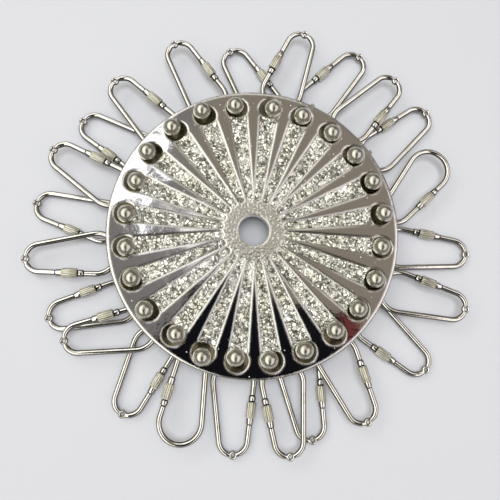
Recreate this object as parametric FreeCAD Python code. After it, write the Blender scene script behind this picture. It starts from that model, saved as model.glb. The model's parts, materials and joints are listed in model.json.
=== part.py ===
import FreeCAD, Part
import math
import os

# Order wheel: a round plate with grooves, and wire loops with screw sleeves that hang from it.
# Millimetres. The origin is the hub bore's centre on the plate's underside, +Z is up.

V = FreeCAD.Vector
UP = V(0, 0, 1)

# Wheel plate
wheel_radius = 50.0
plate_thickness = 2.6
hub_bore_radius = 5.25
rim_round = 0.8
edge_chamfer = 0.3
station_count = 24
first_station_deg = 112.5
station_step_deg = -360.0 / station_count

# Round dished pocket near the rim, one for each station
rim_margin = 5.9
pocket_radius = 3.9
pocket_web = 1.0

# Groove that runs outwards from the hub ring, widening to the pocket
groove_start_radius = 10.6
groove_overlap = 0.8
groove_start_width = 2.1
groove_end_width = 5.6
groove_depth = 0.6
groove_wall_run = 0.2

# Shallow polished lip along grooves and round pockets
lip_run = 0.25
lip_depth = 0.12

# Ball head and its shank
ball_radius = 3.0
ball_stand_off = 0.6
shank_radius = 0.9
ball_play = 1.45
ball_hole_depth = 2.6

# Hanger: flat strap under the plate and an upright tab with a slot for the loop's wire
strap_thickness = 0.9
strap_radius = 1.5
eye_reach = 6.0
slot_height = 2.5
slot_half_width = 1.45
slot_corner = 0.4
tab_side_wall = 0.6
tab_bottom_wall = 0.8
tab_thickness = 1.4
tab_corner = 0.5
level_spacing = 3.7

# Wire loop: a wide arc, a narrow arc and two straight arms
wire_radius = 0.95
wide_arc_radius = 7.0
narrow_arc_radius = 4.8
arc_spacing = 19.0
sleeve_middle_along = 9.15

# Gate in one arm, closed by a nut on threaded collars
nut_length = 5.2
nut_radius = 1.65
nut_bevel = 0.3
nut_rib_count = 13
nut_rib_depth = 0.18
thread_clearance = 0.03
collar_radius = 1.2
collar_bevel = 0.12
inner_collar_end = 4.65
gate_inner_end = 1.9
gate_outer_end = 0.3
outer_collar_end = 4.65

# Flattened eyelet at the middle of the narrow arc
eyelet_radius = 1.45
eyelet_thickness = 1.5
eyelet_hole_radius = 0.55
flat_radius = 2.0

overrun = 2.0

# Places that follow from the sizes above
pocket_circle_radius = wheel_radius - rim_margin
groove_end_radius = pocket_circle_radius - pocket_radius + groove_overlap
pocket_floor = pocket_web
ball_centre_height = pocket_floor + ball_stand_off + ball_radius
slot_top_high = -strap_thickness
wire_height_high = slot_top_high - slot_height / 2
wire_height_low = wire_height_high - level_spacing

# Each row is one station, clockwise from the upper left.
# Ball's offset from its pocket's middle, outwards and sideways, as shares of ball_play.
ball_shares = [
    (0.88, 0.44), (0.06, 0.44), (-0.50, -0.86), (-0.19, -0.31), (-0.12, -0.56), (0.0, -0.44),
    (0.31, 0.0), (0.68, 0.0), (-0.38, -0.06), (-0.06, 0.06), (-0.31, -0.06), (-0.75, 0.38),
    (-0.50, -0.25), (-0.44, -0.69), (-0.86, -0.50), (0.97, 0.17), (-0.62, 0.56), (0.62, -0.38),
    (-0.31, -0.12), (-0.75, 0.50), (-0.69, 0.44), (-0.75, 0.12), (0.74, 0.67), (0.86, 0.50),
]

# Slot's offset from its pocket's middle, outwards and sideways, as shares of eye_reach.
eye_shares = [
    (0.34, 0.04), (0.27, -0.61), (0.48, -0.38), (0.92, -0.31), (0.58, -0.32), (0.91, -0.34),
    (0.50, 0.0), (0.53, 0.39), (0.42, 0.11), (0.65, 0.03), (0.30, 0.03), (0.25, 0.17),
    (-0.13, -0.07), (0.43, -0.26), (0.08, -0.10), (0.22, 0.10), (0.26, -0.03), (0.17, -0.10),
    (0.29, 0.16), (0.52, 0.11), (0.34, 0.21), (0.28, 0.23), (-0.17, 0.24), (-0.02, 0.02),
]

# Tab's turn and loop's turn away from the station's own direction, in degrees.
tab_turn_deg = [-34, -71, -13, -13, -16, -14, 0, -3, 14, 1, 7, -40,
                -26, 40, 5, -33, -23, 22, 27, -2, 10, 22, -3, 27]
loop_turn_deg = [8, 23, -14, -20, -8, 2, 0, 42, 2, 8, -5, -13,
                 -12, -2, 7, 12, 13, -28, -9, -3, -8, -10, 8, 6]

bare_stations = [7]
reversed_stations = [8, 16]
left_hand_stations = [1, 2, 5, 11, 14, 18, 19, 22, 24]


def turned(angle_deg, length=1.0):
    angle = math.radians(angle_deg)
    return V(length * math.cos(angle), length * math.sin(angle), 0)


def station_deg(station):
    return first_station_deg + (station - 1) * station_step_deg


def pocket_middle(station):
    return turned(station_deg(station), pocket_circle_radius)


def offset_place(station, shares, size):
    out_share, side_share = shares[station - 1]
    out = turned(station_deg(station), out_share * size)
    side = turned(station_deg(station) + 90, side_share * size)
    return pocket_middle(station) + out + side


def ball_place(station):
    return offset_place(station, ball_shares, ball_play)


def eye_place(station):
    return offset_place(station, eye_shares, eye_reach)


def is_high(station):
    """Loops lie high and low by turns. A bare station has a high hanger."""
    bare_before = len([bare for bare in bare_stations if bare < station])
    return station in bare_stations or (station - bare_before) % 2 == 1


def wire_height(station):
    return wire_height_high if is_high(station) else wire_height_low


def at_height(place, height):
    return V(place.x, place.y, height)


def post(radius, bottom, top, place=V(0, 0, 0)):
    return Part.makeCylinder(radius, top - bottom, at_height(place, bottom), UP)


def moved(shape, angle_deg, place):
    copy = shape.copy()
    copy.Placement = FreeCAD.Placement(place, FreeCAD.Rotation(UP, angle_deg)).multiply(copy.Placement)
    return copy


# Wheel plate

def plate_blank():
    blank = post(wheel_radius, 0, plate_thickness)
    top_edge = [edge for edge in blank.Edges if edge.Closed and edge.CenterOfMass.z > plate_thickness / 2]
    blank = blank.makeFillet(rim_round, top_edge)
    low_edge = [edge for edge in blank.Edges if edge.Closed and abs(edge.CenterOfMass.z) < edge_chamfer]
    return blank.makeChamfer(edge_chamfer, low_edge)


def groove_outline(height, spread):
    start_half = groove_start_width / 2 + spread
    end_half = groove_end_width / 2 + spread
    start_middle = groove_start_radius + groove_start_width / 2
    inner_tip = V(start_middle - start_half, 0, height)
    inner_left = V(start_middle, start_half, height)
    inner_right = V(start_middle, -start_half, height)
    outer_left = V(groove_end_radius, end_half, height)
    outer_right = V(groove_end_radius, -end_half, height)
    inner_arc = Part.Arc(inner_right, inner_tip, inner_left).toShape()
    left_side = Part.makeLine(inner_left, outer_left)
    outer_side = Part.makeLine(outer_left, outer_right)
    right_side = Part.makeLine(outer_right, inner_right)
    return Part.Wire([inner_arc, left_side, outer_side, right_side])


def groove_cutter():
    floor = groove_outline(plate_thickness - groove_depth, 0)
    slope = groove_wall_run / groove_depth
    mouth = groove_outline(plate_thickness + overrun, slope * (groove_depth + overrun))
    return Part.makeLoft([floor, mouth], True, True)


def groove_lip_cutter():
    wall_spread = groove_wall_run * (groove_depth - lip_depth) / groove_depth
    inner = groove_outline(plate_thickness - lip_depth, wall_spread)
    outer = groove_outline(plate_thickness + lip_depth, wall_spread + 2 * lip_run)
    return Part.makeLoft([inner, outer], True, True)


def dish_sphere_radius():
    depth = plate_thickness - pocket_floor
    return (pocket_radius ** 2 + depth ** 2) / (2 * depth)


def pocket_radius_at(height):
    drop = pocket_floor + dish_sphere_radius() - height
    return math.sqrt(dish_sphere_radius() ** 2 - drop ** 2)


def pocket_cutter():
    dish = Part.makeSphere(dish_sphere_radius(), V(0, 0, 0), UP, -90, 0, 360)
    centre = V(pocket_circle_radius, 0, pocket_floor + dish_sphere_radius())
    return moved(dish, 180, centre)


def pocket_lip_cutter():
    height = plate_thickness - lip_depth
    start_radius = pocket_radius_at(height)
    middle = V(pocket_circle_radius, 0, height)
    return Part.makeCone(start_radius, start_radius + 2 * lip_run, 2 * lip_depth, middle, UP)


def station_cutter():
    return groove_cutter().fuse([groove_lip_cutter(), pocket_cutter(), pocket_lip_cutter()])


def wheel_plate():
    plate = plate_blank().cut(post(hub_bore_radius, -overrun, plate_thickness + overrun))
    cutter = station_cutter()
    for station in range(1, station_count + 1):
        plate = plate.cut(moved(cutter, station_deg(station), V(0, 0, 0)))
    for station in range(1, station_count + 1):
        plate = plate.cut(post(shank_radius, -overrun, plate_thickness, ball_place(station)))
    return plate


# Ball heads and hangers

def ball_head(station):
    centre = at_height(ball_place(station), ball_centre_height)
    ball = Part.makeSphere(ball_radius, centre)
    bottom = ball_centre_height - ball_radius
    hole = post(shank_radius, bottom - overrun, bottom + ball_hole_depth, ball_place(station))
    return ball.cut(hole)


def strap(station):
    start = at_height(ball_place(station), -strap_thickness)
    end = at_height(eye_place(station), -strap_thickness)
    along = end - start
    lug = Part.makeCylinder(strap_radius, strap_thickness, start, UP)
    if along.Length < tab_thickness:
        return lug
    bar = Part.makeBox(along.Length, 2 * strap_radius, strap_thickness, V(0, -strap_radius, 0))
    direction = math.degrees(math.atan2(along.y, along.x))
    return lug.fuse(moved(bar, direction, start))


def rounded_block(half_length, thickness, bottom, top, corner):
    block = Part.makeBox(2 * half_length, thickness, top - bottom, V(-half_length, -thickness / 2, bottom))
    low_edges = [edge for edge in block.Edges
                 if abs(edge.CenterOfMass.y) < thickness / 4 and edge.CenterOfMass.z < bottom + corner
                 and abs(edge.CenterOfMass.x) > half_length / 2]
    return block.makeFillet(corner, low_edges)


def tab(station):
    slot_bottom = wire_height(station) - slot_height / 2
    slot_top = wire_height(station) + slot_height / 2
    half_length = slot_half_width + tab_side_wall
    body = rounded_block(half_length, tab_thickness, slot_bottom - tab_bottom_wall, 0, tab_corner)
    slot = rounded_block(slot_half_width, tab_thickness + overrun, slot_bottom, slot_top, slot_corner)
    direction = station_deg(station) + tab_turn_deg[station - 1]
    return moved(body.cut(slot), direction, eye_place(station))


def hanger(station):
    shank_top = ball_centre_height - ball_radius + ball_hole_depth
    shank = post(shank_radius, -strap_thickness, shank_top, ball_place(station))
    solid = shank.fuse([strap(station), tab(station)])
    return solid.removeSplitter()


# Wire loop

def arm_lean():
    return math.asin((wide_arc_radius - narrow_arc_radius) / arc_spacing)


def arm_direction():
    return V(math.cos(arm_lean()), -math.sin(arm_lean()), 0)


def arc_point(middle_along, radius, angle):
    return V(middle_along + radius * math.cos(angle), radius * math.sin(angle), 0)


def sleeve_middle():
    start = arc_point(0, wide_arc_radius, math.pi / 2 - arm_lean())
    share = (sleeve_middle_along - start.x) / arm_direction().x
    return start + arm_direction() * share


def on_arm(distance):
    return sleeve_middle() + arm_direction() * distance


def arm_rod(radius, start, end):
    return Part.makeCylinder(radius, end - start, on_arm(start), arm_direction())


def loop_path():
    side_angle = math.pi / 2 - arm_lean()
    wide_left = arc_point(0, wide_arc_radius, side_angle)
    wide_right = arc_point(0, wide_arc_radius, -side_angle)
    wide_tip = arc_point(0, wide_arc_radius, math.pi)
    narrow_left = arc_point(arc_spacing, narrow_arc_radius, side_angle)
    narrow_right = arc_point(arc_spacing, narrow_arc_radius, -side_angle)
    narrow_tip = arc_point(arc_spacing, narrow_arc_radius, 0)
    return Part.Wire([
        Part.makeLine(on_arm(gate_outer_end), narrow_left),
        Part.Arc(narrow_left, narrow_tip, narrow_right).toShape(),
        Part.makeLine(narrow_right, wide_right),
        Part.Arc(wide_right, wide_tip, wide_left).toShape(),
        Part.makeLine(wide_left, on_arm(-gate_inner_end)),
    ])


def wire_tube():
    section = Part.Wire([Part.makeCircle(wire_radius, on_arm(gate_outer_end), arm_direction())])
    return loop_path().makePipeShell([section], True, False)


def collar(start, end):
    rod = arm_rod(collar_radius, start, end)
    return rod.makeChamfer(collar_bevel, [edge for edge in rod.Edges if edge.Closed])


def flattened_for_eyelet(wire):
    tip = V(arc_spacing + narrow_arc_radius, 0, 0)
    half = eyelet_thickness / 2
    above = post(flat_radius, half, half + overrun, tip)
    below = post(flat_radius, -half - overrun, -half, tip)
    disc = post(eyelet_radius, -half, half, tip)
    hole = post(eyelet_hole_radius, -half - overrun, half + overrun, tip)
    return wire.cut(above).cut(below).fuse(disc).cut(hole)


def loop_shape():
    inner_collar = collar(-inner_collar_end, -gate_inner_end)
    outer_collar = collar(gate_outer_end, outer_collar_end)
    return flattened_for_eyelet(wire_tube().fuse([inner_collar, outer_collar]))


def rib_outline(outer_radius, inner_radius):
    points = []
    steps = 2 * nut_rib_count
    for step in range(steps + 1):
        radius = inner_radius if step % 2 else outer_radius
        points.append(turned(step % steps * 360.0 / steps, radius))
    return Part.makePolygon(points)


def nut_shape():
    profile = Part.Face(rib_outline(nut_radius, nut_radius - nut_rib_depth))
    ribs = profile.extrude(UP * nut_length)
    envelope = post(nut_radius, 0, nut_length)
    envelope = envelope.makeChamfer(nut_bevel, [edge for edge in envelope.Edges if edge.Closed])
    bore = post(collar_radius + thread_clearance, -overrun, nut_length + overrun)
    nut = ribs.common(envelope).cut(bore)
    nut.Placement = FreeCAD.Placement(on_arm(-nut_length / 2), FreeCAD.Rotation(UP, arm_direction()))
    return nut


def mirrored(shape):
    return shape.mirror(V(0, 0, 0), V(0, 1, 0))


def place_on_station(shape, station):
    loop_deg = station_deg(station) + loop_turn_deg[station - 1]
    tab_deg = station_deg(station) + tab_turn_deg[station - 1]
    if station in reversed_stations:
        middle = eye_place(station) + turned(tab_deg, narrow_arc_radius) + turned(loop_deg, arc_spacing)
        loop_deg = loop_deg + 180
    else:
        middle = eye_place(station) + turned(tab_deg, wide_arc_radius)
    return moved(shape, loop_deg, at_height(middle, wire_height(station)))


def export(shape, node):
    shape.exportStep("parts/%s.step" % node)


def build():
    os.makedirs("parts", exist_ok=True)
    stations = range(1, station_count + 1)
    high_stations = [station for station in stations if is_high(station)]
    low_stations = [station for station in stations if not is_high(station)]
    export(wheel_plate(), "wheel_plate")
    export(Part.makeCompound([hanger(station) for station in high_stations]), "short_hangers")
    export(Part.makeCompound([hanger(station) for station in low_stations]), "long_hangers")
    export(Part.makeCompound([ball_head(station) for station in stations]), "ball_heads")
    left_loop = loop_shape()
    left_nut = nut_shape()
    pairs = {True: (mirrored(left_loop), mirrored(left_nut)), False: (left_loop, left_nut)}
    for station in stations:
        if station in bare_stations:
            continue
        loop, nut = pairs[station in left_hand_stations]
        export(place_on_station(loop, station), "wire_loop_%02d" % station)
        export(place_on_station(nut, station), "screw_nut_%02d" % station)


build()
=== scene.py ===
import json
import math

import bpy
import numpy as np
from mathutils import Matrix, Vector


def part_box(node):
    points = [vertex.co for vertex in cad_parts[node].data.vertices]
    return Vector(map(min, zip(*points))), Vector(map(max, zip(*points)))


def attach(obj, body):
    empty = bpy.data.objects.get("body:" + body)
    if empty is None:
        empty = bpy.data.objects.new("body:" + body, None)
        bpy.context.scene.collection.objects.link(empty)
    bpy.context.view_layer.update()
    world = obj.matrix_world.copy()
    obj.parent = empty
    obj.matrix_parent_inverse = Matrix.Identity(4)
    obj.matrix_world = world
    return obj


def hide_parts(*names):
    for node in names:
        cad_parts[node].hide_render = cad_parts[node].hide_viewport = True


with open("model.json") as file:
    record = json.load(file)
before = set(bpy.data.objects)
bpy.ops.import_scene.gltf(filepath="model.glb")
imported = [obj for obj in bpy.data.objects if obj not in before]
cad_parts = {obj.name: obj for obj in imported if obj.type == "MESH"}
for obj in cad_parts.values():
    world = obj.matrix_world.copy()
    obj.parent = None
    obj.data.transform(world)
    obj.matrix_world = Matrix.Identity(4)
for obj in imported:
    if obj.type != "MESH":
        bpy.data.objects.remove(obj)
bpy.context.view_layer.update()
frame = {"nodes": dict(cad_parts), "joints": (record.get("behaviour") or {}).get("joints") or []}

MM = 0.001

# Sizes shared with the CAD model, in millimetres
PLATE_TOP = 2.6
GROOVE_FLOOR = 2.0
GROOVE_START_RADIUS = 10.6
GROOVE_END_RADIUS = 41.0
POCKET_START_RADIUS = 40.2
GROOVE_START_WIDTH = 2.1
GROOVE_END_WIDTH = 5.6
STATION_COUNT = 24
FIRST_STATION_DEG = 112.5
FLOOR_HEIGHT = -7.9
WIRE_RADIUS = 0.95
WIDE_ARC_RADIUS = 7.0
NARROW_ARC_RADIUS = 4.8
ARC_SPACING = 19.0
SLEEVE_ALONG = 9.15
NUT_LENGTH = 5.2
NUT_RADIUS = 1.65
NUT_BORE = 1.23
COLLAR_RADIUS = 1.2
GATE_INNER_END = 1.9
GATE_OUTER_END = 0.3
EYELET_RADIUS = 1.45

# Camera, from the photograph: where the axes fall in the picture and how far away the camera is
IMAGE_SIZE = 500
HUB_PIXEL = (253.46, 231.62)
PIXELS_PER_MM = 2.8978
TILT_DEG = (-8.7533, 2.9286)
CAMERA_DISTANCE = 185.0
SENSOR_WIDTH = 36.0

# Light that the studio gives off, by direction
WARM_CEILING = (0.25, 0.218, 0.178, 1)
GREY_CEILING = (0.2, 0.19, 0.185, 1)
SILVER_CEILING = (0.72, 0.70, 0.69, 1)
HUB_GLOW = (1.15, 1.13, 1.08, 1)
WINDOW = (1.6, 1.6, 1.65, 1)
DARK = (0.006, 0.006, 0.008, 1)
RIGHT_PANEL = (1.3, 1.22, 1.2, 1)
LEFT_PANEL = (1.9, 1.86, 1.68, 1)
FAR_PANEL = (1.0, 0.97, 0.88, 1)
RED_PATCH = (0.17, 0.04, 0.04, 1)
WALL = (0.17, 0.16, 0.14, 1)

# In what follows, u and v are the slopes x / z and y / z of a direction

# The dark part overhead has a ridge: where it is and how it falls away
RIDGE_U = -0.02
RIDGE_V = 0.115
RIDGE_FALL_RIGHT = 0.43
RIDGE_FALL_LEFT = 1.02
RIDGE_BLUR = 0.006
RIDGE_RAGGED_SHARE = 0.25
RED_PATCH_PLACE = (0.236, 0.012)
RED_PATCH_RADIUS = 0.028
RED_PATCH_FADE = (1.3, 0.7)

# Overhead: where warm turns grey, a silver strip, a glow above the hub, and the window
GREY_FROM_U, GREY_TO_U = -0.02, -0.09
STRIP_U, STRIP_V = (-0.095, -0.03), (0.1, 0.225)
GLOW_U, GLOW_V = (-0.07, 0.028), (0.155, 0.235)
WINDOW_FROM_U, WINDOW_TO_U = -0.115, -0.135
WINDOW_FROM_V, WINDOW_TO_V = 0.4, 0.46
U_BLUR = 0.012
V_BLUR = 0.015

# Ragged bits of window: u, v and size
WINDOW_PATCHES = ((-0.145, 0.252, 0.024), (-0.205, 0.277, 0.036), (-0.122, 0.366, 0.036),
                  (-0.112, 0.335, 0.018), (-0.160, 0.325, 0.036), (-0.142, 0.194, 0.016))
PATCH_CORE_SHARE = 0.85

# How ragged the edges overhead are: how fine, and how far they stray
RAGGED_SCALE, RAGGED_REACH = 11.0, 0.16
TORN_SCALE, TORN_REACH = 26.0, 0.09

# The panels: where each fades in or out, from nothing to full, by u, by v or by the slope from upright
LOWEST_UP = 0.02
WALL_SLOPE = (0.9, 1.2)
FAR_SHARE, FAR_SLOPE, FAR_U = (0.80, 0.92), (0.56, 1.7), (0.34, 0.22)
FAR_BLUR = 0.05
RIGHT_U, RIGHT_V, RIGHT_SLOPE = (0.36, 0.42), (0.6, 0.42), (2.1, 1.7)
LEFT_U, LEFT_SLOPE = (-0.26, -0.31), (1.8, 1.4)

# Tones of the pieces; the dark pocket tone and the near-black tones for creases, notches, flanks and rib
# grooves are painted shade
CHROME, HUB_TONE = (0.84, 0.83, 0.82, 1), (0.86, 0.85, 0.79, 1)
# The pocket tone is painted shade that darkens the ball pockets
POCKET_PAINTED_SHADE, DUST_TONE = (0.42, 0.40, 0.34, 1), (0.8, 0.8, 0.8, 1)
FACET_TONE, FACET_STAIN = (0.96, 0.96, 0.91, 1), (0.92, 0.91, 0.80, 1)
# Near-black painted shade for the creases between facets
FACET_CREASE_SHADE = (0.03, 0.028, 0.018, 1)
BALL_TONE, HANGER_TONE = (0.6, 0.585, 0.52, 1), (0.6, 0.59, 0.56, 1)
# The near-black last tones on these two lines are painted shade, for notches, flanks and rib grooves
WIRE_TONE, WIRE_TARNISH, WIRE_PAINTED_SHADE = (0.90, 0.89, 0.86, 1), (0.74, 0.71, 0.63, 1), (0.02, 0.02, 0.018, 1)
NUT_TONE, NUT_STAIN, NUT_PAINTED_SHADE = (0.92, 0.91, 0.82, 1), (0.82, 0.79, 0.64, 1), (0.03, 0.03, 0.02, 1)
FLOOR_TONE = (0.385, 0.392, 0.418, 1)

# The plate's surface, in millimetres: softened edges, each layer of bump, and where each look ends
SOFT_EDGE = 1.2
WAVE_BUMP, SCUFF_BUMP, GRAIN_BUMP = 0.3, 0.012, 0.12
TOP_SKIN = 0.02
POCKET_SKIN = 0.15
HUB_FADE = (1.2, -0.6)
SPECK_SIZE, SPECK_SHARE = 0.095, 0.6
HUB_DULL_SHARE = 0.12
PLATE_ROUGHNESS, HUB_ROUGHNESS, DUST_ROUGHNESS = 0.05, 0.04, 0.5


def set_camera():
    tilt = Vector((TILT_DEG[0], TILT_DEG[1], 0)) * math.radians(1)
    turn = Matrix.Rotation(tilt.length, 3, tilt.normalized())
    half = IMAGE_SIZE / 2
    off_x = (HUB_PIXEL[0] - half) / PIXELS_PER_MM
    off_y = -(HUB_PIXEL[1] - half) / PIXELS_PER_MM
    back = turn.transposed()
    place = back @ Vector((-off_x, -off_y, CAMERA_DISTANCE)) * MM
    data = bpy.data.cameras.new("camera")
    data.sensor_width = SENSOR_WIDTH
    data.lens = PIXELS_PER_MM * CAMERA_DISTANCE / IMAGE_SIZE * SENSOR_WIDTH
    data.clip_start = 0.01
    camera = bpy.data.objects.new("camera", data)
    camera.matrix_world = Matrix.Translation(place) @ back.to_4x4()
    bpy.context.scene.collection.objects.link(camera)
    bpy.context.scene.camera = camera


class Nodes:
    """Short calls for building a node tree."""

    def __init__(self, tree):
        self.tree = tree
        tree.nodes.clear()

    def add(self, kind, **settings):
        node = self.tree.nodes.new(kind)
        for name, value in settings.items():
            setattr(node, name, value)
        return node

    def feed(self, socket, value):
        if isinstance(value, bpy.types.NodeSocket):
            self.tree.links.new(value, socket)
        else:
            socket.default_value = value

    def math(self, operation, *values):
        node = self.add("ShaderNodeMath", operation=operation)
        for socket, value in zip(node.inputs, values):
            self.feed(socket, value)
        return node.outputs[0]

    def step(self, value, low, high):
        node = self.add("ShaderNodeMapRange", interpolation_type="SMOOTHSTEP")
        self.feed(node.inputs["Value"], value)
        self.feed(node.inputs["From Min"], low)
        self.feed(node.inputs["From Max"], high)
        return node.outputs[0]

    def mix(self, share, first, second):
        node = self.add("ShaderNodeMix", data_type="RGBA")
        self.feed(node.inputs[0], share)
        self.feed(node.inputs[6], first)
        self.feed(node.inputs[7], second)
        return node.outputs[2]

    def split(self, vector):
        node = self.add("ShaderNodeSeparateXYZ")
        self.feed(node.inputs[0], vector)
        return node.outputs

    def noise(self, vector, scale, detail=2.0, roughness=0.5):
        node = self.add("ShaderNodeTexNoise")
        self.feed(node.inputs["Vector"], vector)
        node.inputs["Scale"].default_value = scale
        node.inputs["Detail"].default_value = detail
        node.inputs["Roughness"].default_value = roughness
        return node.outputs

    def voronoi(self, vector, scale):
        node = self.add("ShaderNodeTexVoronoi")
        self.feed(node.inputs["Vector"], vector)
        node.inputs["Scale"].default_value = scale
        return node.outputs

    def bump(self, height, distance, strength=1.0, normal=None):
        node = self.add("ShaderNodeBump")
        self.feed(node.inputs["Height"], height)
        self.feed(node.inputs["Strength"], strength)
        node.inputs["Distance"].default_value = distance
        if normal is not None:
            self.feed(node.inputs["Normal"], normal)
        return node.outputs[0]

    def position(self):
        return self.add("ShaderNodeTexCoord").outputs["Object"]


def new_material(name):
    material = bpy.data.materials.new(name)
    material.use_nodes = True
    nodes = Nodes(material.node_tree)
    shader = nodes.add("ShaderNodeBsdfPrincipled")
    output = nodes.add("ShaderNodeOutputMaterial")
    nodes.feed(output.inputs[0], shader.outputs[0])
    return material, nodes, shader


def metal(shader):
    shader.inputs["Metallic"].default_value = 1.0


def in_mm(nodes):
    scale = nodes.add("ShaderNodeVectorMath", operation="SCALE")
    nodes.feed(scale.inputs[0], nodes.position())
    scale.inputs["Scale"].default_value = 1 / MM
    return scale.outputs[0]


def length_of(nodes, first, second):
    first_square = nodes.math("MULTIPLY", first, first)
    second_square = nodes.math("MULTIPLY", second, second)
    return nodes.math("SQRT", nodes.math("ADD", first_square, second_square))


def plate_material():
    """Mirror chrome with softened edges, a sandy hub ring, a few specks of dust and painted shade in the
    ball pockets.
    """
    material, nodes, shader = new_material("chromed_plate")
    place = in_mm(nodes)
    x, y, z = nodes.split(place)
    radius = length_of(nodes, x, y)
    on_top = nodes.math("GREATER_THAN", z, PLATE_TOP - TOP_SKIN)
    hub_edges = [GROOVE_START_RADIUS + fade for fade in HUB_FADE]
    in_hub = nodes.math("MULTIPLY", nodes.step(radius, *hub_edges), on_top)
    soft_edge = nodes.add("ShaderNodeBevel", samples=6)
    soft_edge.inputs["Radius"].default_value = SOFT_EDGE * MM
    wave = nodes.noise(place, 0.05, detail=1.0)[0]
    scuff = nodes.noise(place, 0.55, detail=2.0)[0]
    top = nodes.bump(wave, WAVE_BUMP * MM, normal=soft_edge.outputs[0])
    top = nodes.bump(scuff, SCUFF_BUMP * MM, normal=top)
    grain = nodes.noise(place, 1.1, detail=0.5)[0]
    nodes.feed(shader.inputs["Normal"], nodes.bump(grain, GRAIN_BUMP * MM, strength=in_hub, normal=top))
    speck = nodes.voronoi(place, 0.6)
    small = nodes.math("LESS_THAN", speck["Distance"], SPECK_SIZE)
    picked = nodes.math("GREATER_THAN", nodes.split(speck["Color"])[0], SPECK_SHARE)
    dust = nodes.math("MULTIPLY", nodes.math("MULTIPLY", small, picked), on_top)
    in_pocket = nodes.math("MULTIPLY", nodes.math("LESS_THAN", z, PLATE_TOP - POCKET_SKIN),
                           nodes.math("GREATER_THAN", radius, POCKET_START_RADIUS))
    tone = nodes.mix(in_hub, CHROME, HUB_TONE)
    # Painted shade: the ball pockets take the dark pocket tone
    tone = nodes.mix(in_pocket, tone, POCKET_PAINTED_SHADE)
    nodes.feed(shader.inputs["Base Color"], nodes.mix(dust, tone, DUST_TONE))
    shine = nodes.math("SUBTRACT", 1.0, nodes.math("MULTIPLY", in_hub, HUB_DULL_SHARE))
    nodes.feed(shader.inputs["Metallic"], nodes.math("MULTIPLY", shine, nodes.math("SUBTRACT", 1.0, dust)))
    rough = nodes.math("ADD", nodes.math("MULTIPLY", in_hub, HUB_ROUGHNESS),
                       nodes.math("MULTIPLY", dust, DUST_ROUGHNESS))
    nodes.feed(shader.inputs["Roughness"], nodes.math("ADD", rough, PLATE_ROUGHNESS))
    return material


def texture_material():
    """The cast facets on the groove floors: pale, slightly yellow, half dull and half bright, with painted
    shade in the creases between facets.
    """
    material, nodes, shader = new_material("cast_facets")
    shader.inputs["Metallic"].default_value = 0.8
    place = in_mm(nodes)
    stain = nodes.noise(place, 0.12, detail=2.0)[0]
    tone = nodes.mix(nodes.step(stain, 0.35, 0.7), FACET_TONE, FACET_STAIN)
    # Painted shade darkens the creases between facets
    nodes.feed(shader.inputs["Base Color"], nodes.mix(painted_shade_share(nodes), tone, FACET_CREASE_SHADE))
    grain = nodes.noise(place, 2.0, detail=2.0)[0]
    nodes.feed(shader.inputs["Normal"], nodes.bump(grain, 0.06 * MM))
    shader.inputs["Roughness"].default_value = 0.1
    return material


def ball_material():
    material, nodes, shader = new_material("polished_ball")
    metal(shader)
    wave = nodes.noise(in_mm(nodes), 0.6, detail=2.0)[0]
    nodes.feed(shader.inputs["Normal"], nodes.bump(wave, 0.03 * MM))
    shader.inputs["Roughness"].default_value = 0.27
    shader.inputs["Base Color"].default_value = BALL_TONE
    return material


def hanger_material():
    material, nodes, shader = new_material("hanger_steel")
    metal(shader)
    grain = nodes.noise(in_mm(nodes), 4.0, detail=3.0)[0]
    nodes.feed(shader.inputs["Normal"], nodes.bump(grain, 0.02 * MM))
    shader.inputs["Roughness"].default_value = 0.25
    shader.inputs["Base Color"].default_value = HANGER_TONE
    return material


def painted_shade_share(nodes):
    # Share of painted shade, read from the mesh attribute
    return nodes.add("ShaderNodeAttribute", attribute_name="painted_shade").outputs["Fac"]


def wire_material():
    material, nodes, shader = new_material("nickel_wire")
    metal(shader)
    place = in_mm(nodes)
    grain = nodes.noise(place, 1.2, detail=3.0)[0]
    nodes.feed(shader.inputs["Normal"], nodes.bump(grain, 0.012 * MM))
    tarnish = nodes.noise(place, 0.25, detail=3.0)[0]
    tone = nodes.mix(nodes.step(tarnish, 0.4, 0.7), WIRE_TONE, WIRE_TARNISH)
    # Painted shade darkens the collar notches and the flanks
    tone = nodes.mix(painted_shade_share(nodes), tone, WIRE_PAINTED_SHADE)
    nodes.feed(shader.inputs["Base Color"], tone)
    shader.inputs["Roughness"].default_value = 0.06
    return material


def nut_material():
    material, nodes, shader = new_material("ribbed_nut")
    metal(shader)
    place = in_mm(nodes)
    grain = nodes.noise(place, 5.0, detail=3.0)[0]
    nodes.feed(shader.inputs["Normal"], nodes.bump(grain, 0.03 * MM))
    stain = nodes.noise(place, 0.5, detail=2.0)[0]
    tone = nodes.mix(nodes.step(stain, 0.35, 0.65), NUT_TONE, NUT_STAIN)
    # Painted shade darkens the rib grooves and the bore
    tone = nodes.mix(painted_shade_share(nodes), tone, NUT_PAINTED_SHADE)
    nodes.feed(shader.inputs["Base Color"], tone)
    shader.inputs["Roughness"].default_value = 0.35
    return material


def dress_nodes():
    looks = {"wheel_plate": plate_material(), "ball_heads": ball_material(), "hangers": hanger_material()}
    for name, piece in frame["nodes"].items():
        for key, look in looks.items():
            if key in name:
                piece.data.materials.clear()
                piece.data.materials.append(look)


# Cast facets on the groove floors

FACET_ROWS = 170
FACET_COLUMNS = 26
FACET_SPACING = 1.0
FACET_SLOPES = (0.1, 0.7)
FACET_STRETCH = 1.6
FACET_LIFT = 0.16
FACET_TOP = 0.45
CREASE_WIDTH = 0.5
CREASE_DEPTH = 0.12
SHADED_CREASE_SHARE = 0.75


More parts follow.
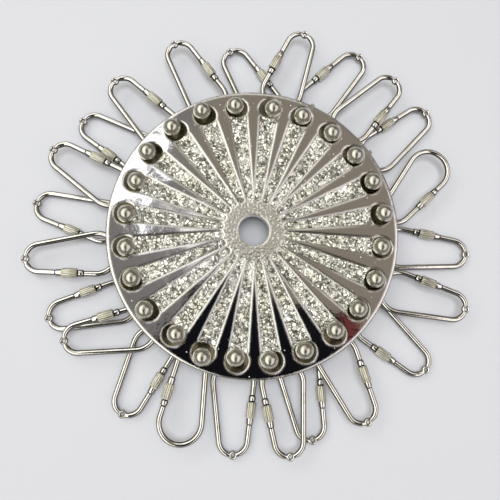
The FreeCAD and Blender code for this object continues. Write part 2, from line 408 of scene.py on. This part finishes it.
def groove_half_width(along):
    middle = GROOVE_START_RADIUS + GROOVE_START_WIDTH / 2
    share = (along - middle) / (GROOVE_END_RADIUS - middle)
    tapered = (GROOVE_START_WIDTH + (GROOVE_END_WIDTH - GROOVE_START_WIDTH) * share) / 2
    inside = np.clip((GROOVE_START_WIDTH / 2) ** 2 - (middle - along) ** 2, 0, None)
    return np.where(along < middle, np.sqrt(inside), tapered)


def facet_heights(points, random):
    """Each point takes the tilted plane of its nearest seed, so the floor breaks into crisp facets."""
    low, high = points.min(axis=0), points.max(axis=0)
    count = int((high[0] - low[0]) * (high[1] - low[1]) / FACET_SPACING ** 2)
    seeds = random.uniform(low, high, (count, 2))
    lie = random.uniform(0, math.pi, count)
    away = points[:, None, :] - seeds[None, :, :]
    along = away[..., 0] * np.cos(lie) + away[..., 1] * np.sin(lie)
    across = away[..., 1] * np.cos(lie) - away[..., 0] * np.sin(lie)
    apart = np.sqrt((along / FACET_STRETCH) ** 2 + (across * FACET_STRETCH) ** 2)
    nearest = np.argmin(apart, axis=1)
    first, second = np.partition(apart, 1, axis=1)[:, :2].T
    crease = np.clip(1 - (second - first) / CREASE_WIDTH, 0, 1)
    # A share of the creases take painted shade; that share goes into the mesh attribute
    shaded_crease = random.uniform(0, 1, count) < SHADED_CREASE_SHARE
    heading = random.uniform(0, 2 * math.pi, count)
    slope = random.uniform(*FACET_SLOPES, count)
    tilt = np.stack([np.cos(heading), np.sin(heading)], axis=1) * slope[:, None]
    step = random.uniform(0, FACET_LIFT / 2, count)
    rows = np.arange(len(points))
    rise = (away[rows, nearest] * tilt[nearest]).sum(axis=1) + step[nearest]
    height = np.clip(rise + FACET_LIFT - crease * CREASE_DEPTH, 0.01, FACET_TOP)
    return height, crease * shaded_crease[nearest]


def add_groove_textures():
    look = texture_material()
    random = np.random.default_rng(7)
    along = np.linspace(GROOVE_START_RADIUS + 0.02, GROOVE_END_RADIUS - 0.1, FACET_ROWS)
    share = np.linspace(-1, 1, FACET_COLUMNS + 1)
    side = groove_half_width(along)[:, None] * share[None, :]
    points = np.stack([np.repeat(along[:, None], len(share), axis=1), side], axis=-1).reshape(-1, 2)
    faces = []
    for row in range(FACET_ROWS - 1):
        for column in range(FACET_COLUMNS):
            corner = row * len(share) + column
            faces.append((corner, corner + len(share), corner + len(share) + 1, corner + 1))
    for station in range(STATION_COUNT):
        rise, crease = facet_heights(points, random)
        angle = math.radians(FIRST_STATION_DEG - station * 360 / STATION_COUNT)
        x = points[:, 0] * math.cos(angle) - points[:, 1] * math.sin(angle)
        y = points[:, 0] * math.sin(angle) + points[:, 1] * math.cos(angle)
        mesh = bpy.data.meshes.new("groove_texture_%02d" % (station + 1))
        mesh.from_pydata((np.stack([x, y, GROOVE_FLOOR + rise], axis=1) * MM).tolist(), [], faces)
        mesh.attributes.new("painted_shade", "FLOAT", "POINT").data.foreach_set("value", crease)
        mesh.materials.append(look)
        piece = bpy.data.objects.new(mesh.name, mesh)
        bpy.context.scene.collection.objects.link(piece)
        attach(piece, "wheel")


# Wire loops and nuts

LEAN = math.asin((WIDE_ARC_RADIUS - NARROW_ARC_RADIUS) / ARC_SPACING)
ARM = np.array([math.cos(LEAN), -math.sin(LEAN)])
ARM_START = WIDE_ARC_RADIUS * np.array([math.sin(LEAN), math.cos(LEAN)])
SLEEVE = ARM_START + ARM * (SLEEVE_ALONG - ARM_START[0]) / ARM[0]
SHARP_DEG = 40
TUBE_SIDES = 20
# Painted shade along the flanks of the wire, collars and eyelet: how dark, and how far up the section it
# reaches
SIDE_PAINTED_SHADE = 0.85
SHADED_SIDE_HEIGHT = 0.6
ARC_STEP = 0.5
EYELET_GAP_POINTS = 5
EYELET_WALL = 0.46
EYELET_HALF_HEIGHT = 0.72
EYELET_TURNS, EYELET_SIDES = 28, 12
RIB_COUNT = 13
RIB_DEPTH = 0.18
RIB_STEPS = 12
# Painted shade in the nut's rib grooves and in its bore
RIB_PAINTED_SHADE, BORE_PAINTED_SHADE = 0.75, 0.6
NUT_BEVEL = 0.2
# Along the necks: distance from the eyelet's middle, half-width and half-height
NECK_STEPS = ((2.3, WIRE_RADIUS, WIRE_RADIUS), (2.15, WIRE_RADIUS, WIRE_RADIUS), (2.1, 0.8, 0.75),
              (1.4, 0.8, 0.7), (0.9, 0.7, 0.6))


def arc_points(centre, radius, start, end):
    count = max(3, int(abs(end - start) * radius / ARC_STEP))
    angles = np.linspace(start, end, count)
    return [(centre + radius * math.cos(angle), radius * math.sin(angle)) for angle in angles]


def sleeve_profile():
    """Distance along the arm from the sleeve's middle, radius, and how much painted shade it takes in the
    notches and steps by the collars.
    """
    # Painted shade fills the notches at the collar ends and the steps along the collars
    inner = [(-5.3, WIRE_RADIUS, 0), (-5.05, WIRE_RADIUS, 0.3), (-5.0, 0.82, 1), (-4.68, 0.82, 1),
             (-4.65, 1.08, 0.9), (-4.5, COLLAR_RADIUS, 0), (-3.6, COLLAR_RADIUS, 0),
             (-3.15, COLLAR_RADIUS, 0), (-3.1, 1.0, 1), (-2.7, 1.0, 1), (-2.65, COLLAR_RADIUS, 0.4),
             (-GATE_INNER_END, COLLAR_RADIUS, 0)]
    outer = [(GATE_OUTER_END, COLLAR_RADIUS, 0), (2.6, COLLAR_RADIUS, 0.5), (2.85, COLLAR_RADIUS, 0),
             (4.5, COLLAR_RADIUS, 0), (4.65, 1.1, 0.5), (4.68, 0.85, 1), (4.95, 0.85, 0.8),
             (5.0, WIRE_RADIUS, 0), (6.0, WIRE_RADIUS, 0), (8.0, WIRE_RADIUS, 0)]
    return inner, outer


def sleeve_rows(profile):
    return [(SLEEVE + ARM * distance, radius, radius, painted_shade) for distance, radius, painted_shade in profile]


def tube_mesh(rows):
    """A tube through rows of (place, half-width sideways, half-height, share of painted shade), painted
    dark along its flanks.
    """
    places = np.array([row[0] for row in rows])
    along = np.gradient(places, axis=0)
    along /= np.linalg.norm(along, axis=1)[:, None]
    sideways = np.stack([-along[:, 1], along[:, 0]], axis=1)
    verts, painted_shades = [], []
    for (place, half_width, half_height, painted_shade), side in zip(rows, sideways):
        for step in range(TUBE_SIDES):
            angle = 2 * math.pi * step / TUBE_SIDES
            flat = np.array(place) + side * half_width * math.cos(angle)
            verts.append((flat[0], flat[1], half_height * math.sin(angle)))
            # Painted shade on the tube's flanks
            on_side = abs(math.sin(angle)) < SHADED_SIDE_HEIGHT
            painted_shades.append(max(painted_shade, SIDE_PAINTED_SHADE) if on_side else painted_shade)
    faces = []
    for row in range(len(rows) - 1):
        for step in range(TUBE_SIDES):
            after = (step + 1) % TUBE_SIDES
            low, high = row * TUBE_SIDES, (row + 1) * TUBE_SIDES
            faces.append((low + step, low + after, high + after, high + step))
    faces.append(tuple(range(TUBE_SIDES))[::-1])
    faces.append(tuple((len(rows) - 1) * TUBE_SIDES + step for step in range(TUBE_SIDES)))
    return verts, faces, painted_shades


def wire_row(place):
    return (place, WIRE_RADIUS, WIRE_RADIUS, 0.0)


def outer_wire():
    """From the gate outwards to the eyelet."""
    rows = sleeve_rows(sleeve_profile()[1])
    side = math.pi / 2 - LEAN
    points = arc_points(ARC_SPACING, NARROW_ARC_RADIUS, side, 0)
    rows += [wire_row(point) for point in points[:-EYELET_GAP_POINTS]]
    return rows + eyelet_neck(1)


def inner_wire():
    """From the eyelet round the far arm and the wide arc to the gate."""
    side = math.pi / 2 - LEAN
    rows = eyelet_neck(-1)[::-1]
    points = arc_points(ARC_SPACING, NARROW_ARC_RADIUS, 0, -side)
    rows += [wire_row(point) for point in points[EYELET_GAP_POINTS:]]
    rows += [wire_row(point) for point in arc_points(0, WIDE_ARC_RADIUS, -side, side - 2 * math.pi)]
    return rows + sleeve_rows(sleeve_profile()[0])


def eyelet_neck(side):
    """The wire's last stretch before the eyelet, with a small step down."""
    rows = []
    for distance, half_width, half_height in NECK_STEPS:
        angle = side * distance / NARROW_ARC_RADIUS
        place = (ARC_SPACING + NARROW_ARC_RADIUS * math.cos(angle), NARROW_ARC_RADIUS * math.sin(angle))
        rows.append((place, half_width, half_height, 0.0))
    return rows


def eyelet_ring():
    """A flattened ring round an upright hole, with painted shade on its flanks."""
    middle = EYELET_RADIUS - EYELET_WALL
    turns, sides = EYELET_TURNS, EYELET_SIDES
    verts, faces, painted_shades = [], [], []
    for turn in range(turns):
        angle = 2 * math.pi * turn / turns
        for side in range(sides):
            around = 2 * math.pi * side / sides
            radius = middle + EYELET_WALL * math.cos(around)
            verts.append((ARC_SPACING + NARROW_ARC_RADIUS + radius * math.cos(angle),
                          radius * math.sin(angle), EYELET_HALF_HEIGHT * math.sin(around)))
            # Painted shade on the ring's flanks
            painted_shades.append(SIDE_PAINTED_SHADE if abs(math.sin(around)) < SHADED_SIDE_HEIGHT else 0.0)
            after_turn, after_side = (turn + 1) % turns, (side + 1) % sides
            faces.append((turn * sides + side, after_turn * sides + side,
                          after_turn * sides + after_side, turn * sides + after_side))
    return verts, faces, painted_shades


def nut_mesh():
    """A nut along the arm with straight ribs, bevelled ends and a plain bore, with painted shade in the
    rib grooves and towards the bore.
    """
    around = RIB_STEPS * RIB_COUNT
    half = NUT_LENGTH / 2
    stations = [(-half, NUT_BEVEL, 0), (-half + NUT_BEVEL, 0.0, 1), (half - NUT_BEVEL, 0.0, 1),
                (half, NUT_BEVEL, 0)]
    verts, painted_shades = [], []
    for distance, inset, ribbed in stations:
        for step in range(around):
            phase = math.cos(2 * math.pi * step / RIB_STEPS)
            groove = RIB_DEPTH * (0.5 - 0.5 * phase) ** 1.5 * ribbed
            verts.append((distance, 2 * math.pi * step / around, NUT_RADIUS - inset - groove))
            # Painted shade, deeper where the rib groove is deeper
            painted_shades.append(RIB_PAINTED_SHADE * (groove / RIB_DEPTH) ** 2)
    for distance in (half, -half):
        for step in range(around):
            verts.append((distance, 2 * math.pi * step / around, NUT_BORE))
            painted_shades.append(BORE_PAINTED_SHADE)
    rows = len(stations) + 2
    faces = []
    for row in range(rows):
        for step in range(around):
            after = (step + 1) % around
            low, high = row * around, (row + 1) % rows * around
            faces.append((low + after, low + step, high + step, high + after))
    across = np.array([-ARM[1], ARM[0]])
    placed = []
    for distance, angle, radius in verts:
        flat = SLEEVE + ARM * distance + across * radius * math.cos(angle)
        placed.append((flat[0], flat[1], radius * math.sin(angle)))
    return placed, faces, painted_shades


def joined(parts):
    verts, faces, painted_shades = [], [], []
    for part_verts, part_faces, part_painted_shades in parts:
        start = len(verts)
        verts += part_verts
        faces += [tuple(start + corner for corner in face) for face in part_faces]
        painted_shades += part_painted_shades
    return verts, faces, painted_shades


def add_piece(name, parts, matrix, mirror, material):
    verts, faces, painted_shades = joined(parts)
    if mirror:
        verts = [(x, -y, z) for x, y, z in verts]
        faces = [face[::-1] for face in faces]
    mesh = bpy.data.meshes.new(name)
    mesh.from_pydata([matrix @ (Vector(vert) * MM) for vert in verts], [], faces)
    mesh.attributes.new("painted_shade", "FLOAT", "POINT").data.foreach_set("value", painted_shades)
    mesh.polygons.foreach_set("use_smooth", [True] * len(mesh.polygons))
    mesh.set_sharp_from_angle(angle=math.radians(SHARP_DEG))
    mesh.materials.append(material)
    piece = bpy.data.objects.new(name, mesh)
    bpy.context.scene.collection.objects.link(piece)
    return piece


def loop_frame(number):
    """Where a loop lies, from its nut's box and slide axis, and whether its nut is on the left arm."""
    low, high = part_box("screw_nut_" + number)
    nut = (Vector(low) + Vector(high)) / 2
    low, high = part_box("wire_loop_" + number)
    inside = (Vector(low) + Vector(high)) / 2 - nut
    joint = next(joint for joint in frame["joints"] if joint["name"] == "nut_slide_" + number)
    arm = Vector(joint["axis"])
    mirror = arm.cross(inside).z > 0
    lean = -LEAN if mirror else LEAN
    turn = Matrix.Rotation(math.atan2(arm.y, arm.x) + lean, 4, "Z")
    sleeve = Vector((SLEEVE[0], -SLEEVE[1] if mirror else SLEEVE[1], 0)) * MM
    return Matrix.Translation(nut) @ turn @ Matrix.Translation(-sleeve), mirror


def add_loops():
    wire_look, nut_look = wire_material(), nut_material()
    wire_parts = [tube_mesh(outer_wire()), tube_mesh(inner_wire()), eyelet_ring()]
    nut_parts = [nut_mesh()]
    for name in sorted(frame["nodes"]):
        if not name.startswith("wire_loop_"):
            continue
        number = name[-2:]
        matrix, mirror = loop_frame(number)
        wire = add_piece("bent_wire_" + number, wire_parts, matrix, mirror, wire_look)
        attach(wire, "loop_" + number)
        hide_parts("wire_loop_" + number)
        nut = add_piece("ribbed_nut_" + number, nut_parts, matrix, mirror, nut_look)
        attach(nut, "nut_" + number)
        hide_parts("screw_nut_" + number)


def add_floor():
    bpy.ops.mesh.primitive_plane_add(size=6, location=(0, 0, FLOOR_HEIGHT * MM))
    floor = bpy.context.object
    floor.name = "floor"
    material, nodes, shader = new_material("pale_table")
    shader.inputs["Base Color"].default_value = FLOOR_TONE
    shader.inputs["Roughness"].default_value = 0.55
    floor.data.materials.append(material)


def within(nodes, value, low, high, blur):
    rising = nodes.step(value, low - blur, low + blur)
    return nodes.math("MULTIPLY", rising, nodes.step(value, high + blur, high - blur))


def light_world():
    """A soft studio round the object: a warm ceiling overhead, bright panels half-way up and dim walls."""
    world = bpy.data.worlds.new("studio")
    bpy.context.scene.world = world
    world.use_nodes = True
    nodes = Nodes(world.node_tree)
    direction = nodes.add("ShaderNodeTexCoord").outputs["Generated"]
    x, y, z = nodes.split(direction)
    up = nodes.math("MAXIMUM", z, LOWEST_UP)
    u = nodes.math("DIVIDE", x, up)
    v = nodes.math("DIVIDE", y, up)
    slope = nodes.add("ShaderNodeCombineXYZ")
    nodes.feed(slope.inputs[0], u)
    nodes.feed(slope.inputs[1], v)
    ragged = nodes.noise(slope.outputs[0], RAGGED_SCALE, detail=4.0, roughness=0.6)[0]
    ragged = nodes.math("MULTIPLY", nodes.math("SUBTRACT", ragged, 0.5), RAGGED_REACH)
    u_rough = nodes.math("ADD", u, ragged)
    v_rough = nodes.math("SUBTRACT", v, ragged)

    # Overhead: warm, greyer to the left with a silver strip, a glow over the hub, and bits of window
    sky = nodes.mix(nodes.step(u_rough, GREY_FROM_U, GREY_TO_U), WARM_CEILING, GREY_CEILING)
    strip = nodes.math("MULTIPLY", within(nodes, u_rough, *STRIP_U, U_BLUR),
                       within(nodes, v_rough, *STRIP_V, V_BLUR))
    sky = nodes.mix(strip, sky, SILVER_CEILING)
    glow = nodes.math("MULTIPLY", within(nodes, u, *GLOW_U, U_BLUR), within(nodes, v, *GLOW_V, V_BLUR))
    sky = nodes.mix(glow, sky, HUB_GLOW)
    torn = nodes.noise(slope.outputs[0], TORN_SCALE, detail=3.0, roughness=0.6)[0]
    torn = nodes.math("MULTIPLY", nodes.math("SUBTRACT", torn, 0.5), TORN_REACH)
    window = nodes.math("MULTIPLY", nodes.step(u_rough, WINDOW_FROM_U, WINDOW_TO_U),
                        nodes.step(v, WINDOW_FROM_V, WINDOW_TO_V))
    for place_u, place_v, size in WINDOW_PATCHES:
        apart = length_of(nodes, nodes.math("SUBTRACT", u, place_u), nodes.math("SUBTRACT", v, place_v))
        apart = nodes.math("ADD", apart, torn)
        window = nodes.math("MAXIMUM", window, nodes.step(apart, size, size * PATCH_CORE_SHARE))
    sky = nodes.mix(window, sky, WINDOW)

    # Overhead and towards the viewer: dark below a ridge, with a small red patch at its right end
    past_ridge = nodes.math("SUBTRACT", u, RIDGE_U)
    right_fall = nodes.math("MULTIPLY", nodes.math("MAXIMUM", past_ridge, 0.0), RIDGE_FALL_RIGHT)
    left_fall = nodes.math("MULTIPLY", nodes.math("MINIMUM", past_ridge, 0.0), RIDGE_FALL_LEFT)
    edge = nodes.math("ADD", nodes.math("SUBTRACT", left_fall, right_fall), RIDGE_V)
    ragged_v = nodes.math("ADD", v, nodes.math("MULTIPLY", ragged, RIDGE_RAGGED_SHARE))
    below = nodes.math("SUBTRACT", edge, ragged_v)
    sky = nodes.mix(nodes.step(below, -RIDGE_BLUR, RIDGE_BLUR), sky, DARK)
    patch = length_of(nodes, nodes.math("SUBTRACT", u_rough, RED_PATCH_PLACE[0]),
                      nodes.math("SUBTRACT", v_rough, RED_PATCH_PLACE[1]))
    patch_edges = [RED_PATCH_RADIUS * fade for fade in RED_PATCH_FADE]
    sky = nodes.mix(nodes.step(patch, *patch_edges), sky, RED_PATCH)

    # Half-way up: bright panels to the right, to the left and far ahead, and dim walls below them
    flat = length_of(nodes, u, v)
    sky = nodes.mix(nodes.step(flat, *WALL_SLOPE), sky, WALL)
    v_share = nodes.math("DIVIDE", v, nodes.math("MAXIMUM", flat, 0.001))
    ahead = nodes.math("MULTIPLY", nodes.step(v_share, *FAR_SHARE),
                       within(nodes, flat, *FAR_SLOPE, FAR_BLUR))
    sky = nodes.mix(nodes.math("MULTIPLY", ahead, nodes.step(u, *FAR_U)), sky, FAR_PANEL)
    right = nodes.math("MULTIPLY", nodes.step(u, *RIGHT_U), nodes.step(v, *RIGHT_V))
    sky = nodes.mix(nodes.math("MULTIPLY", right, nodes.step(flat, *RIGHT_SLOPE)), sky, RIGHT_PANEL)
    left = nodes.math("MULTIPLY", nodes.step(u, *LEFT_U), nodes.step(flat, *LEFT_SLOPE))
    sky = nodes.mix(left, sky, LEFT_PANEL)
    background = nodes.add("ShaderNodeBackground")
    nodes.feed(background.inputs[0], sky)
    output = nodes.add("ShaderNodeOutputWorld")
    nodes.feed(output.inputs[0], background.outputs[0])


def add_lamp(name, place, size, power):
    """A soft round lamp that the metal doesn't mirror."""
    data = bpy.data.lights.new(name, "AREA")
    data.shape = "DISK"
    data.size = size
    data.energy = power
    lamp = bpy.data.objects.new(name, data)
    lamp.location = place
    lamp.rotation_euler = (-Vector(place)).to_track_quat("-Z", "Y").to_euler()
    lamp.visible_glossy = False
    bpy.context.scene.collection.objects.link(lamp)


set_camera()
add_floor()
light_world()
add_lamp("overhead", (0.0, 0.0, 1.0), size=0.6, power=11.5)
add_lamp("key", (-0.5, 0.5, 0.8), size=0.5, power=2.0)
dress_nodes()
add_groove_textures()
add_loops()
bpy.context.scene.view_settings.view_transform = "Standard"
